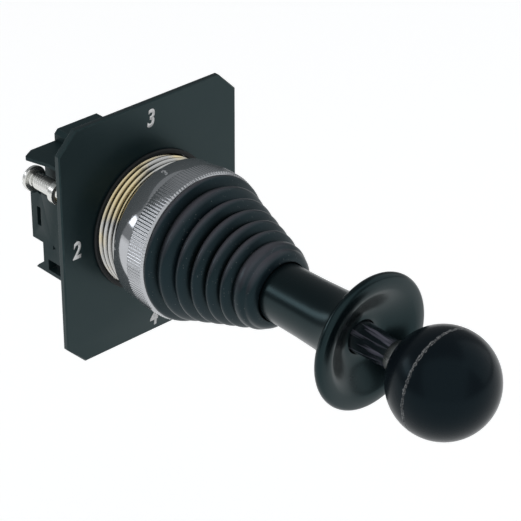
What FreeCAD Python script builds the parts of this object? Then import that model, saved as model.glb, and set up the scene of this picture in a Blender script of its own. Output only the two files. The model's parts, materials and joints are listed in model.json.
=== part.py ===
import FreeCAD, Part
import math
import os

# Panel-mounted four-way joystick with a ball knob, a pull ring that frees the lever,
# a rubber bellows, a chromed threaded collar and three rear contact modules.
# Millimetres. The origin is on the lever axis at the panel seating face, the lever
# points along -Y, +Z is up (position 3) and +X is right (position 1).

V = FreeCAD.Vector
ALONG_X = V(1, 0, 0)
ALONG_Y = V(0, 1, 0)
ALONG_Z = V(0, 0, 1)

# Fits and clearances
RUNNING_FIT = 0.05
SLIDE_FIT = 0.08
SEAT_GAP = 0.1
RUBBER_GAP = 0.3

# Width of a small screw's driving slot, each side, as a share of its head
SLOT_SHARE = 0.15

# Legend plate on the front of the panel
PLATE_W = 64.0
PLATE_H = 74.0
PLATE_T = 1.8
PLATE_CORNER = 6.2
PLATE_EDGE = 0.3

# Chromed body: threaded collar with a square flange behind the panel
COLLAR_R = 20.0
COLLAR_BORE_R = 16.6
COLLAR_FRONT = -22.4
FLANGE_HALF = 20.5
FLANGE_T = 2.6
FLANGE_CORNER_R = 4.0

# Sealing ring between legend plate and nut
SEAL_R = 21.5
SEAL_T = 1.0

# Ring nut: a plain band, then a wider knurled head
NUT_BACK = -10.9
NUT_BAND_LENGTH = 6.2
NUT_HEAD_LENGTH = 6.7
NUT_BAND_R = 21.8
NUT_HEAD_R = 22.4
NUT_EDGE = 0.5

# Gate plate on the front of the collar, with a square opening that stops the lever
GATE_R = 19.4
GATE_T = 1.8
GATE_HALF = 10.8
GATE_CORNER_R = 4.2
GATE_SCREW_R = 0.8
GATE_SCREW_HEAD_R = 1.4
GATE_SCREW_LENGTH = 5.0
GATE_SCREW_PCR = 18.0

# Rubber bellows: rings of grooves and ridges that shrink towards the lever
BELLOWS_BASE_R = 21.5
BELLOWS_SKIRT_END = -25.2
BELLOWS_GROOVES = ((-26.2, 19.0), (-31.4, 16.8), (-36.0, 15.3), (-40.6, 13.9), (-44.9, 12.7), (-48.9, 11.8))
BELLOWS_RIDGE_RISE = 2.55
BELLOWS_LIP_R = 12.7
BELLOWS_LIP_Y = -51.4
BELLOWS_LIP_END_R = 10.0
BELLOWS_END = -56.2
BELLOWS_WALL = 1.2
BELLOWS_BASE_WALL = 2.2

# Gimbal: ring, hub and their pins, all about one pivot centre
PIVOT_Y = -2.0
GIMBAL_R = 10.8
GIMBAL_BORE_R = 7.4
GIMBAL_HALF_T = 2.2
HUB_R = 6.1
HUB_HALF_LENGTH = 3.3
PIN_R = 1.35
PIN_BEARING_DEPTH = 2.2
HUB_PIN_DEPTH = 1.9

# Lever rod with a shouldered, threaded front stretch and a threaded tail
ROD_R = 4.0
ROD_THREAD_R = 2.5
ROD_FRONT_SHOULDER = -64.0
ROD_FRONT_END = -113.0
ROD_TAIL_END = 9.6

# Tilting actuator plate on the lever tail
ACTUATOR_R = 14.6
ACTUATOR_T = 1.8
ACTUATOR_FRONT = 3.6
TAIL_NUT_FLAT = 8.0
TAIL_NUT_T = 3.0

# Pull ring: a sleeve that ends in a dished disc and slides on the lever
SLEEVE_BACK = -36.0
SLEEVE_R = 8.5
SLEEVE_FLARE_START = -61.0
SLEEVE_NECK_R = 9.0
SLEEVE_NECK_Y = -76.0
SLEEVE_BORE_R = 6.2
SLEEVE_BORE_END = -76.0
SLEEVE_BUSH_LENGTH = 6.0
DISC_R = 19.6
DISC_RIM_Y = -89.5
DISC_FRONT = -91.2
DISC_BACK = -87.9
DISC_DISH_R = 15.6
DISC_DISH_Y = -86.2
DISC_HUB_R = 6.4
PULL_TRAVEL = 5.0

# Spring that holds the pull ring down, and the ring that it bears on
SPRING_WIRE = 0.8
PULL_SPRING_R = 5.1
PULL_SPRING_TURNS = 7
SPRING_STOP_R = 5.8
SPRING_STOP_T = 2.0

# Knob stem, its bright collar and the two-piece ball knob
STEM_R = 4.7
STEM_TAPER_START = -84.0
STEM_END_R = 3.95
STEM_COLLAR_R = 4.4
STEM_COLLAR_T = 1.9
KNOB_R = 15.0
KNOB_Y = -115.7
KNOB_FLAT_R = 4.6
KNOB_SEAM_EDGE = 0.25
KNOB_SEAM_GAP = 0.05
INSERT_R = 4.4
INSERT_LENGTH = 9.0
INSERT_COVER = 2.5

# Operator housing behind the flange
HOUSING_HALF = 18.6
HOUSING_WALL = 2.2
HOUSING_BACK = 15.6
HOUSING_BACK_WALL = 3.5
HOUSING_CORNER_R = 3.0
FLANGE_SCREW_IN = 2.4
FLANGE_SCREW_R = 1.2
FLANGE_SCREW_HEAD_R = 2.3
FLANGE_SCREW_LENGTH = 8.0
BOSS_R = 2.7

# Plungers between the actuator plate and the contacts
PLUNGER_AT = 12.4
PLUNGER_R = 1.7
PLUNGER_GAP = 1.0
PLUNGER_TRAVEL = 3.3
PLUNGER_SHOULDER = 21.4
PLUNGER_PIN_R = 0.9
PLUNGER_PIN_END = 24.6
BRIDGE_LENGTH = 7.0
BRIDGE_WIDTH = 3.4
BRIDGE_T = 0.8
CONTACT_PAD_R = 0.9
CONTACT_PAD_T = 0.4
CONTACT_GAP = 0.15
PLUNGER_SPRING_R = 1.35
PLUNGER_SPRING_WIRE = 0.5
PLUNGER_SPRING_TURNS = 5

# Contact modules: left and right are mirrored, the middle one serves positions 3 and 4
MODULE_BACK = 31.2
MODULE_SPLIT = 6.9
MODULE_TOP = 15.3
MODULE_BOTTOM = -21.8
MODULE_FRONT_WALL = 1.7
MODULE_BACK_WALL = 2.0
CHAMBER_HALF_X = 4.5
CHAMBER_HALF_Z = 2.3
STEP_Z = -12.2
STEP_BACK = 25.6
HOOK_TIP_Y = 29.3
HOOK_T = 1.3
HOOK_TOP = -18.6
WING_T = 1.1
WING_REACH = 2.3
WING_FRONT = 20.5
WING_NOSE_Y = 29.0
WING_NOSE_R = 1.0
REAR_SLOPE_IN = 1.5
NOOK_FLOOR_BACK = 2.7
NOOK_FLOOR = 4.3
NOOK_RAMP = (26.6, 28.7)
NOOK_DEPTH_X = 6.2
NOOK_FRONT = 16.3
NOTCH_W = 1.2
LOWER_NOOK_TOP = -16.9
LOWER_NOOK_BACK = 23.4
LOWER_NOOK_LIP = 1.2
LATCH_SLOT = (25.9, 27.6, -7.0, -0.9)
MARK_Y = 20.1
MARK_Z = -11.9
MARK_SIZE = 1.5
MARK_DEPTH = 0.4
MIDDLE_TOP = 18.8
MIDDLE_CAP_OUT = 1.55
MIDDLE_CAP_EDGE = 1.2
MIDDLE_BOTTOM = -22.4

# Fixed contacts and terminals
STRIP_T = 0.7
STRIP_WIDTH = 3.0
STRIP_FOOT = 2.2
STRIP_INSET = 0.4
STRIP_PAD_HALF = 2.1
SIDE_SCREW_IN = 1.0
SIDE_SCREW_Z = 7.0
TERMINAL_SHANK_R = 2.5
TERMINAL_HEAD_R = 3.9
TERMINAL_HEAD_T = 2.2
TERMINAL_HEAD_IN = 2.3
TERMINAL_SLOT = 0.9
CLAMP_R = 3.6
CLAMP_T = 2.0
LOWER_SCREW_X = 12.6
LOWER_SCREW_Z = -15.9
SMALL_SHANK_R = 1.5
SMALL_HEAD_R = 2.6
SMALL_HEAD_T = 1.8
SMALL_HEAD_LIFT = 2.2
SMALL_SLOT = 0.7
MIDDLE_SCREW_X = 3.3
MIDDLE_SCREW_Z = 4.4
MIDDLE_NOOK_FRONT = 24.0
MODULE_SCREW_R = 1.1
MODULE_SCREW_HEAD_R = 1.6
MODULE_SCREW_HEAD_T = 1.6
MODULE_SCREW_DEPTH = 3.0
MODULE_SCREW_SINK = 0.3
MODULE_SCREW_SLOT = 0.6
SIDE_MODULE_SCREW_X = 10.2
SIDE_MODULE_SCREW_Z = (11.0, -8.4)
MIDDLE_MODULE_SCREW_Z = (16.4, -19.6)


def box(x0, x1, y0, y1, z0, z1):
    """A block between two corners, given in any order."""
    low = V(min(x0, x1), min(y0, y1), min(z0, z1))
    return Part.makeBox(abs(x1 - x0), abs(y1 - y0), abs(z1 - z0), low)


def rod_y(radius, y0, y1, x=0.0, z=0.0):
    """A round bar along Y."""
    return Part.makeCylinder(radius, abs(y1 - y0), V(x, min(y0, y1), z), ALONG_Y)


def turned(*outline):
    """A solid of revolution about the Y axis from (radius, y) points.

    An entry of two points is an arc through the first that ends at the second.
    """
    edges = []
    here = outline[0]
    start = V(here[0], here[1], 0)
    first = start
    for step in outline[1:]:
        if isinstance(step[0], tuple):
            middle = V(step[0][0], step[0][1], 0)
            end = V(step[1][0], step[1][1], 0)
            edges.append(Part.Arc(start, middle, end).toShape())
        else:
            end = V(step[0], step[1], 0)
            edges.append(Part.LineSegment(start, end).toShape())
        start = end
    edges.append(Part.LineSegment(start, first).toShape())
    face = Part.Face(Part.Wire(edges))
    return face.revolve(V(0, 0, 0), ALONG_Y, 360)


def rounded_square(half, corner, y0, y1):
    """A square prism along Y with rounded corners."""
    block = box(-half, half, y0, y1, -half, half)
    corners = [e for e in block.Edges if abs(e.tangentAt(e.FirstParameter).y) > 0.9]
    return block.makeFillet(corner, corners)


def coil(radius, wire, turns, y0, y1):
    """A compression spring along Y, of square wire, between two faces."""
    rise = (abs(y1 - y0) - wire) / turns
    path = Part.makeHelix(rise, rise * turns, radius)
    half = wire / 2
    corners = [V(radius - half, 0, -half), V(radius + half, 0, -half)]
    corners += [V(radius + half, 0, half), V(radius - half, 0, half)]
    section = Part.makePolygon(corners + corners[:1])
    spring = Part.Wire(path.Edges).makePipeShell([section], True, True)
    spring.rotate(V(0, 0, 0), ALONG_X, -90)
    spring.translate(V(0, min(y0, y1) + half, 0))
    return spring


def slotted_screw(shank_r, shank_end, head_r, head_y, head_t, x, z, slot):
    """A screw along Y with a domed, slotted head at the rear."""
    dome = turned(
        (0, head_y),
        (head_r, head_y),
        (head_r, head_y + head_t * 0.5),
        ((head_r * 0.78, head_y + head_t * 0.87), (0, head_y + head_t)),
    )
    screw = dome.fuse(rod_y(shank_r, shank_end, head_y + 0.2))
    groove = box(-head_r - 1, head_r + 1, head_y + head_t * 0.45, head_y + head_t + 1, -slot / 2, slot / 2)
    screw = screw.cut(groove)
    screw.translate(V(x, 0, z))
    return screw


def countersunk_form(shank_r, head_r, face_y, length, x, z):
    """The outline of a flat-headed screw driven from the front, flush with a face."""
    form = turned(
        (0, face_y),
        (head_r, face_y),
        (shank_r, face_y + head_r - shank_r),
        (shank_r, face_y + length),
        (0, face_y + length),
    )
    form.translate(V(x, 0, z))
    return form


def countersunk_screw(shank_r, head_r, face_y, length, x, z):
    """A flat-headed screw with a driving slot."""
    screw = countersunk_form(shank_r, head_r, face_y, length, x, z)
    depth = (head_r - shank_r) / 2
    half_slot = head_r * SLOT_SHARE
    return screw.cut(box(x - head_r, x + head_r, face_y - 1, face_y + depth, z - half_slot, z + half_slot))


def countersunk_hole(shank_r, head_r, face_y, length, x, z):
    """The hole that such a screw sits in, a running fit wider."""
    return countersunk_form(shank_r + RUNNING_FIT, head_r + RUNNING_FIT, face_y, length, x, z)


def mirrored(shape):
    """The same shape on the other side of the lever, left for right."""
    return shape.mirror(V(0, 0, 0), ALONG_X)


def group(shapes):
    """Separate solids that share one node."""
    solids = []
    for shape in shapes:
        solids += shape.Solids
    return Part.makeCompound(solids)


def square_places(at):
    """The four corners of a square of half-side at, as (x, z)."""
    return [(sx * at, sz * at) for sx in (-1, 1) for sz in (-1, 1)]


PLATE_FRONT = -PLATE_T
FLANGE_SCREW_AT = HOUSING_HALF - FLANGE_SCREW_IN
SIDE_SCREW_X = HOUSING_HALF - SIDE_SCREW_IN
NUT_STEP = NUT_BACK - NUT_BAND_LENGTH
NUT_FRONT = NUT_STEP - NUT_HEAD_LENGTH
ACTUATOR_BACK = ACTUATOR_FRONT + ACTUATOR_T
PLUNGER_TIP = ACTUATOR_BACK + PLUNGER_GAP
CHAMBER_FRONT = HOUSING_BACK + MODULE_FRONT_WALL
CHAMBER_BACK = MODULE_BACK - MODULE_BACK_WALL
MODULE_SCREW_SEAT = MODULE_BACK - MODULE_SCREW_HEAD_T - MODULE_SCREW_SINK
SPRING_STOP_FRONT = ROD_FRONT_SHOULDER - SPRING_STOP_T
KNOB_BACK = KNOB_Y + math.sqrt(KNOB_R**2 - KNOB_FLAT_R**2)
INSERT_BACK = KNOB_BACK - INSERT_COVER
STEM_COLLAR_BACK = KNOB_BACK + STEM_COLLAR_T
GATE_FRONT = COLLAR_FRONT - GATE_T
PAD_BACK = PLUNGER_SHOULDER + BRIDGE_T + CONTACT_PAD_T
FIXED_CONTACT_Y = PAD_BACK + PLUNGER_TRAVEL + CONTACT_GAP
PLUNGER_PLACES = {
    "left": (-PLUNGER_AT, 0.0),
    "right": (PLUNGER_AT, 0.0),
    "top": (0.0, PLUNGER_AT),
    "bottom": (0.0, -PLUNGER_AT),
}


def legend_plate():
    half_w = PLATE_W / 2
    half_h = PLATE_H / 2
    corner = PLATE_CORNER
    outline = [
        (-half_w + corner, half_h),
        (half_w - corner, half_h),
        (half_w, half_h - corner),
        (half_w, -half_h + corner),
        (half_w - corner, -half_h),
        (-half_w + corner, -half_h),
        (-half_w, -half_h + corner),
        (-half_w, half_h - corner),
    ]
    points = [V(x, PLATE_FRONT, z) for x, z in outline]
    plate = Part.Face(Part.makePolygon(points + points[:1])).extrude(V(0, PLATE_T, 0))
    front = [e for e in plate.Edges if max(abs(v.Point.y - PLATE_FRONT) for v in e.Vertexes) < 0.01]
    plate = plate.makeChamfer(PLATE_EDGE, front)
    return plate.cut(rod_y(COLLAR_R + RUBBER_GAP, PLATE_FRONT - 1, 1))


def sealing_ring():
    inner = COLLAR_R + SEAT_GAP
    front = PLATE_FRONT - SEAL_T
    bulge = SEAL_R - SEAL_T / 2
    return turned(
        (inner, PLATE_FRONT),
        (bulge, PLATE_FRONT),
        ((SEAL_R, PLATE_FRONT - SEAL_T / 2), (bulge, front)),
        (inner, front),
    )


def threaded_collar():
    tube = rod_y(COLLAR_R, COLLAR_FRONT, FLANGE_T)
    edges = [e for e in tube.Edges if e.Closed and abs(e.Vertexes[0].Point.y - COLLAR_FRONT) < 0.01]
    tube = tube.makeChamfer(0.5, edges)
    collar = tube.fuse(rounded_square(FLANGE_HALF, FLANGE_CORNER_R, 0, FLANGE_T))
    collar = collar.cut(rod_y(COLLAR_BORE_R, COLLAR_FRONT - 1, FLANGE_T + 1))
    reach = COLLAR_BORE_R + PIN_BEARING_DEPTH
    bearing = Part.makeCylinder(PIN_R + RUNNING_FIT, 2 * reach, V(-reach, PIVOT_Y, 0), ALONG_X)
    collar = collar.cut(bearing)
    for x, z in square_places(FLANGE_SCREW_AT):
        collar = collar.cut(countersunk_hole(FLANGE_SCREW_R, FLANGE_SCREW_HEAD_R, 0, FLANGE_T + 1, x, z))
    for x, z in square_places(GATE_SCREW_PCR / math.sqrt(2)):
        hole_end = COLLAR_FRONT + GATE_SCREW_LENGTH
        collar = collar.cut(rod_y(GATE_SCREW_R + RUNNING_FIT, COLLAR_FRONT, hole_end, x, z))
    return collar.removeSplitter()


def ring_nut():
    bore = COLLAR_R + RUNNING_FIT
    return turned(
        (bore, NUT_BACK),
        (NUT_BAND_R - NUT_EDGE, NUT_BACK),
        (NUT_BAND_R, NUT_BACK - NUT_EDGE),
        (NUT_BAND_R, NUT_STEP),
        (NUT_HEAD_R - NUT_EDGE / 2, NUT_STEP),
        (NUT_HEAD_R, NUT_STEP - NUT_EDGE / 2),
        (NUT_HEAD_R, NUT_FRONT + NUT_EDGE),
        (NUT_HEAD_R - NUT_EDGE, NUT_FRONT),
        (bore, NUT_FRONT),
    )


def gate_plate():
    plate = rod_y(GATE_R, GATE_FRONT, COLLAR_FRONT)
    plate = plate.cut(rounded_square(GATE_HALF, GATE_CORNER_R, GATE_FRONT - 1, COLLAR_FRONT + 1))
    for x, z in square_places(GATE_SCREW_PCR / math.sqrt(2)):
        plate = plate.cut(countersunk_hole(GATE_SCREW_R, GATE_SCREW_HEAD_R, GATE_FRONT, GATE_T + 1, x, z))
    return plate


def gate_screws():
    return group([
        countersunk_screw(GATE_SCREW_R, GATE_SCREW_HEAD_R, GATE_FRONT, GATE_SCREW_LENGTH, x, z)
        for x, z in square_places(GATE_SCREW_PCR / math.sqrt(2))
    ])


def bellows():
    """Revolved rubber boot: grooves with a rounded ridge between each two."""
    back = NUT_FRONT - SEAT_GAP
    gate_clear = GATE_R + RUBBER_GAP
    outline = [
        (gate_clear, back),
        (BELLOWS_BASE_R - 0.4, back),
        (BELLOWS_BASE_R, back - 0.4),
        (BELLOWS_BASE_R - 0.25, BELLOWS_SKIRT_END),
    ]
    for index, (groove_y, groove_r) in enumerate(BELLOWS_GROOVES):
        outline.append((groove_r, groove_y))
        if index + 1 < len(BELLOWS_GROOVES):
            next_y, next_r = BELLOWS_GROOVES[index + 1]
            pitch = groove_y - next_y
            ridge_y = (groove_y + next_y) / 2
            ridge_r = (groove_r + next_r) / 2 + BELLOWS_RIDGE_RISE
            outline.append((ridge_r - 0.75, ridge_y + pitch * 0.33))
            outline.append(((ridge_r, ridge_y), (ridge_r - 1.3, ridge_y - pitch * 0.33)))
    outline += [
        (BELLOWS_LIP_R - 0.1, BELLOWS_GROOVES[-1][0] - 1.4),
        (BELLOWS_LIP_R, BELLOWS_LIP_Y - 1.8),
        ((BELLOWS_LIP_R - 0.9, BELLOWS_END + 1.5), (BELLOWS_LIP_END_R, BELLOWS_END)),
        (SLEEVE_R + RUBBER_GAP, BELLOWS_END),
        (SLEEVE_R + RUBBER_GAP, BELLOWS_LIP_Y + 1.2),
        (BELLOWS_GROOVES[-1][1] - BELLOWS_WALL, BELLOWS_GROOVES[-1][0]),
        (BELLOWS_GROOVES[0][1] - BELLOWS_BASE_WALL, BELLOWS_GROOVES[0][0]),
        (BELLOWS_GROOVES[0][1] - BELLOWS_BASE_WALL, GATE_FRONT - RUBBER_GAP),
        (gate_clear, GATE_FRONT - RUBBER_GAP),
    ]
    return turned(*outline)


def gimbal_ring():
    ring = rod_y(GIMBAL_R, PIVOT_Y - GIMBAL_HALF_T, PIVOT_Y + GIMBAL_HALF_T)
    ring = ring.cut(rod_y(GIMBAL_BORE_R, PIVOT_Y - GIMBAL_HALF_T - 1, PIVOT_Y + GIMBAL_HALF_T + 1))
    across = Part.makeCylinder(PIN_R, 2 * GIMBAL_R + 2, V(-GIMBAL_R - 1, PIVOT_Y, 0), ALONG_X)
    upright = Part.makeCylinder(PIN_R + RUNNING_FIT, 2 * GIMBAL_R + 2, V(0, PIVOT_Y, -GIMBAL_R - 1), ALONG_Z)
    return ring.cut(across).cut(upright)


def gimbal_pins():
    inner = GIMBAL_BORE_R + SEAT_GAP
    outer = COLLAR_BORE_R + PIN_BEARING_DEPTH - SEAT_GAP
    pin = Part.makeCylinder(PIN_R, outer - inner, V(inner, PIVOT_Y, 0), ALONG_X)
    return group([pin, mirrored(pin)])


def lever_hub():
    hub = rod_y(HUB_R, PIVOT_Y - HUB_HALF_LENGTH, PIVOT_Y + HUB_HALF_LENGTH)
    rims = [e for e in hub.Edges if e.Closed]
    hub = hub.makeChamfer(0.6, rims)
    hub = hub.cut(rod_y(ROD_R, PIVOT_Y - HUB_HALF_LENGTH - 1, PIVOT_Y + HUB_HALF_LENGTH + 1))
    holes = Part.makeCylinder(PIN_R, 2 * HUB_R + 2, V(0, PIVOT_Y, -HUB_R - 1), ALONG_Z)
    return hub.cut(holes)


def hub_pins():
    inner = HUB_R - HUB_PIN_DEPTH
    outer = GIMBAL_R - SEAT_GAP
    pins = []
    for sign in (-1, 1):
        start = inner if sign > 0 else -outer
        pins.append(Part.makeCylinder(PIN_R, outer - inner, V(0, PIVOT_Y, start), ALONG_Z))
    return group(pins)


def lever_rod():
    return turned(
        (0, ROD_TAIL_END),
        (ROD_THREAD_R - 0.4, ROD_TAIL_END),
        (ROD_THREAD_R, ROD_TAIL_END - 0.4),
        (ROD_THREAD_R, ACTUATOR_FRONT),
        (ROD_R, ACTUATOR_FRONT),
        (ROD_R, ROD_FRONT_SHOULDER),
        (ROD_THREAD_R, ROD_FRONT_SHOULDER),
        (ROD_THREAD_R, ROD_FRONT_END),
        (0, ROD_FRONT_END),
    )


def actuator_plate():
    return turned(
        (ROD_THREAD_R, ACTUATOR_FRONT),
        (ACTUATOR_R - 0.5, ACTUATOR_FRONT),
        (ACTUATOR_R, ACTUATOR_FRONT + 0.5),
        (ACTUATOR_R, ACTUATOR_BACK),
        (ROD_THREAD_R, ACTUATOR_BACK),
    )


def tail_nut():
    corner = TAIL_NUT_FLAT / math.sqrt(3)
    points = [
        V(corner * math.cos(math.radians(60 * i)), ACTUATOR_BACK, corner * math.sin(math.radians(60 * i)))
        for i in range(7)
    ]
    nut = Part.Face(Part.makePolygon(points)).extrude(V(0, TAIL_NUT_T, 0))
    return nut.cut(rod_y(ROD_THREAD_R, ACTUATOR_BACK - 1, ACTUATOR_BACK + TAIL_NUT_T + 1))


def pull_sleeve():
    """Sleeve and dished disc, turned in one piece."""
    return turned(
        (SLEEVE_BORE_R, SLEEVE_BACK),
        (SLEEVE_R - 0.5, SLEEVE_BACK),
        (SLEEVE_R, SLEEVE_BACK - 0.5),
        (SLEEVE_R, SLEEVE_FLARE_START),
        (SLEEVE_NECK_R, SLEEVE_NECK_Y),
        ((SLEEVE_NECK_R + 1.9, DISC_BACK + 3.6), (DISC_DISH_R, DISC_BACK + 0.3)),
        (DISC_R - 1.2, DISC_BACK),
        ((DISC_R, DISC_RIM_Y), (DISC_R - 1.2, DISC_FRONT)),
        (DISC_DISH_R, DISC_FRONT),
        (((DISC_DISH_R + DISC_HUB_R) / 2, DISC_DISH_Y - 1.9), (DISC_HUB_R, DISC_DISH_Y)),
        (STEM_R + RUBBER_GAP, DISC_DISH_Y),
        (STEM_R + RUBBER_GAP, SLEEVE_BORE_END),
        (SLEEVE_BORE_R, SLEEVE_BORE_END),
    )


def sleeve_bush():
    front = SLEEVE_BACK - SLEEVE_BUSH_LENGTH
    return turned(
        (ROD_R + SLIDE_FIT, SLEEVE_BACK),
        (SLEEVE_BORE_R, SLEEVE_BACK),
        (SLEEVE_BORE_R, front),
        (ROD_R + SLIDE_FIT, front),
    )


def pull_spring():
    back = SLEEVE_BACK - SLEEVE_BUSH_LENGTH - SEAT_GAP
    front = ROD_FRONT_SHOULDER + SEAT_GAP
    return coil(PULL_SPRING_R, SPRING_WIRE, PULL_SPRING_TURNS, front, back)


def spring_stop():
    return turned(
        (ROD_THREAD_R, ROD_FRONT_SHOULDER),
        (SPRING_STOP_R, ROD_FRONT_SHOULDER),
        (SPRING_STOP_R, SPRING_STOP_FRONT),
        (ROD_THREAD_R, SPRING_STOP_FRONT),
    )


def knob_stem():
    return turned(
        (ROD_THREAD_R, SPRING_STOP_FRONT),
        (STEM_R, SPRING_STOP_FRONT),
        (STEM_R, STEM_TAPER_START),
        (STEM_END_R, STEM_COLLAR_BACK),
        (ROD_THREAD_R, STEM_COLLAR_BACK),
    )


def stem_collar():
    front = KNOB_BACK
    return turned(
        (ROD_THREAD_R, STEM_COLLAR_BACK),
        (STEM_COLLAR_R - 0.3, STEM_COLLAR_BACK),
        (STEM_COLLAR_R, STEM_COLLAR_BACK - 0.3),
        (STEM_COLLAR_R, front),
        (ROD_THREAD_R, front),
    )


def ball_half(seam, away):
    """One half of the ball knob, chamfered at the seam; away is the side that it lies on."""
    ball = Part.makeSphere(KNOB_R, V(0, KNOB_Y, 0), ALONG_Y, -90, 90, 360)
    half = ball.common(box(-KNOB_R, KNOB_R, seam, seam + away * KNOB_R, -KNOB_R, KNOB_R))
    rim = [e for e in half.Edges if e.Closed and abs(e.Vertexes[0].Point.y - seam) < 0.01]
    return half.makeChamfer(KNOB_SEAM_EDGE, rim)


def knob_rear():
    seam = KNOB_Y + KNOB_SEAM_GAP / 2
    half = ball_half(seam, 1)
    half = half.cut(rod_y(KNOB_R, KNOB_BACK, KNOB_BACK + KNOB_R))
    half = half.cut(rod_y(ROD_THREAD_R, seam - 1, KNOB_BACK + 1))
    return half.cut(rod_y(INSERT_R, seam - 1, INSERT_BACK))


def knob_insert():
    front = INSERT_BACK - INSERT_LENGTH
    insert = rod_y(INSERT_R, front, INSERT_BACK)
    return insert.cut(rod_y(ROD_THREAD_R, front - 1, INSERT_BACK + 1))


def knob_front():
    return ball_half(KNOB_Y - KNOB_SEAM_GAP / 2, -1)


def operator_housing():
    shell = rounded_square(HOUSING_HALF, HOUSING_CORNER_R, FLANGE_T, HOUSING_BACK)
    inside = HOUSING_HALF - HOUSING_WALL
    back_wall = HOUSING_BACK - HOUSING_BACK_WALL
    cavity = box(-inside, inside, FLANGE_T - 1, back_wall, -inside, inside)
    posts = [rod_y(BOSS_R, FLANGE_T, back_wall, x, z) for x, z in square_places(FLANGE_SCREW_AT)]
    for post in posts:
        cavity = cavity.cut(post)
    shell = shell.cut(cavity)
    for x, z in square_places(FLANGE_SCREW_AT):
        shell = shell.cut(rod_y(FLANGE_SCREW_R + RUNNING_FIT, FLANGE_T - 1, FLANGE_SCREW_LENGTH + 0.3, x, z))
    for x, z in PLUNGER_PLACES.values():
        shell = shell.cut(rod_y(PLUNGER_R + SLIDE_FIT, back_wall - 1, HOUSING_BACK + 1, x, z))
    for x, z in module_screw_places():
        shell = shell.cut(rod_y(MODULE_SCREW_R, HOUSING_BACK - MODULE_SCREW_DEPTH, HOUSING_BACK + 1, x, z))
    return shell


def flange_screws():
    return group([
        countersunk_screw(FLANGE_SCREW_R, FLANGE_SCREW_HEAD_R, 0, FLANGE_SCREW_LENGTH, x, z)
        for x, z in square_places(FLANGE_SCREW_AT)
    ])


def module_screw_places():
    """Where the screws that hold the modules to the housing stand, as (x, z)."""
    places = []
    for z in SIDE_MODULE_SCREW_Z:
        places += [(-SIDE_MODULE_SCREW_X, z), (SIDE_MODULE_SCREW_X, z)]
    for z in MIDDLE_MODULE_SCREW_Z:
        places.append((0.0, z))
    return places


def module_screws():
    return group([
        slotted_screw(MODULE_SCREW_R, HOUSING_BACK - MODULE_SCREW_DEPTH, MODULE_SCREW_HEAD_R,
                      MODULE_SCREW_SEAT, MODULE_SCREW_HEAD_T, x, z, MODULE_SCREW_SLOT)
        for x, z in module_screw_places()
    ])


def bore_for_screws(module, places):
    """Cut the through holes and head pockets of the fixing screws."""
    for x, z in places:
        through = rod_y(MODULE_SCREW_R + RUNNING_FIT, HOUSING_BACK - 1, MODULE_SCREW_SEAT + 1, x, z)
        pocket = rod_y(MODULE_SCREW_HEAD_R + SEAT_GAP, MODULE_SCREW_SEAT, MODULE_BACK + 1, x, z)
        module = module.cut(through).cut(pocket)
    return module


def plunger(x, z):
    """A push rod with a half-round tip and a thin pin for the contact bridge."""
    lean = math.sqrt(0.5)
    stem = turned(
        (0, PLUNGER_TIP),
        ((PLUNGER_R * lean, PLUNGER_TIP + PLUNGER_R * (1 - lean)), (PLUNGER_R, PLUNGER_TIP + PLUNGER_R)),
        (PLUNGER_R, PLUNGER_SHOULDER),
        (PLUNGER_PIN_R, PLUNGER_SHOULDER),
        (PLUNGER_PIN_R, PLUNGER_PIN_END),
        (0, PLUNGER_PIN_END),
    )
    stem.translate(V(x, 0, z))
    return stem


def contact_bridge(x, z):
    """The moving contact, across the plunger's pin, with a raised pad at each end."""
    half = BRIDGE_LENGTH / 2
    back = PLUNGER_SHOULDER + BRIDGE_T
    strip = box(x - half, x + half, PLUNGER_SHOULDER, back, z - BRIDGE_WIDTH / 2, z + BRIDGE_WIDTH / 2)
    for side in (-1, 1):
        pad_x = x + side * (half - CONTACT_PAD_R)
        strip = strip.fuse(rod_y(CONTACT_PAD_R, PLUNGER_SHOULDER, PAD_BACK, pad_x, z))
    return strip.cut(rod_y(PLUNGER_PIN_R, PLUNGER_SHOULDER - 1, back + 1, x, z))


def plunger_spring(x, z):
    front = PLUNGER_SHOULDER + BRIDGE_T + SEAT_GAP
    spring = coil(PLUNGER_SPRING_R, PLUNGER_SPRING_WIRE, PLUNGER_SPRING_TURNS, front, CHAMBER_BACK - SEAT_GAP)
    spring.translate(V(x, 0, z))
    return spring


def chamber(x, z):
    """The hollow in a module where a contact bridge moves."""
    return box(x - CHAMBER_HALF_X, x + CHAMBER_HALF_X, CHAMBER_FRONT, CHAMBER_BACK,
               z - CHAMBER_HALF_Z, z + CHAMBER_HALF_Z)


def plunger_hole(x, z):
    return rod_y(PLUNGER_R + SLIDE_FIT, HOUSING_BACK - 1, CHAMBER_FRONT + 1, x, z)


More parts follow.
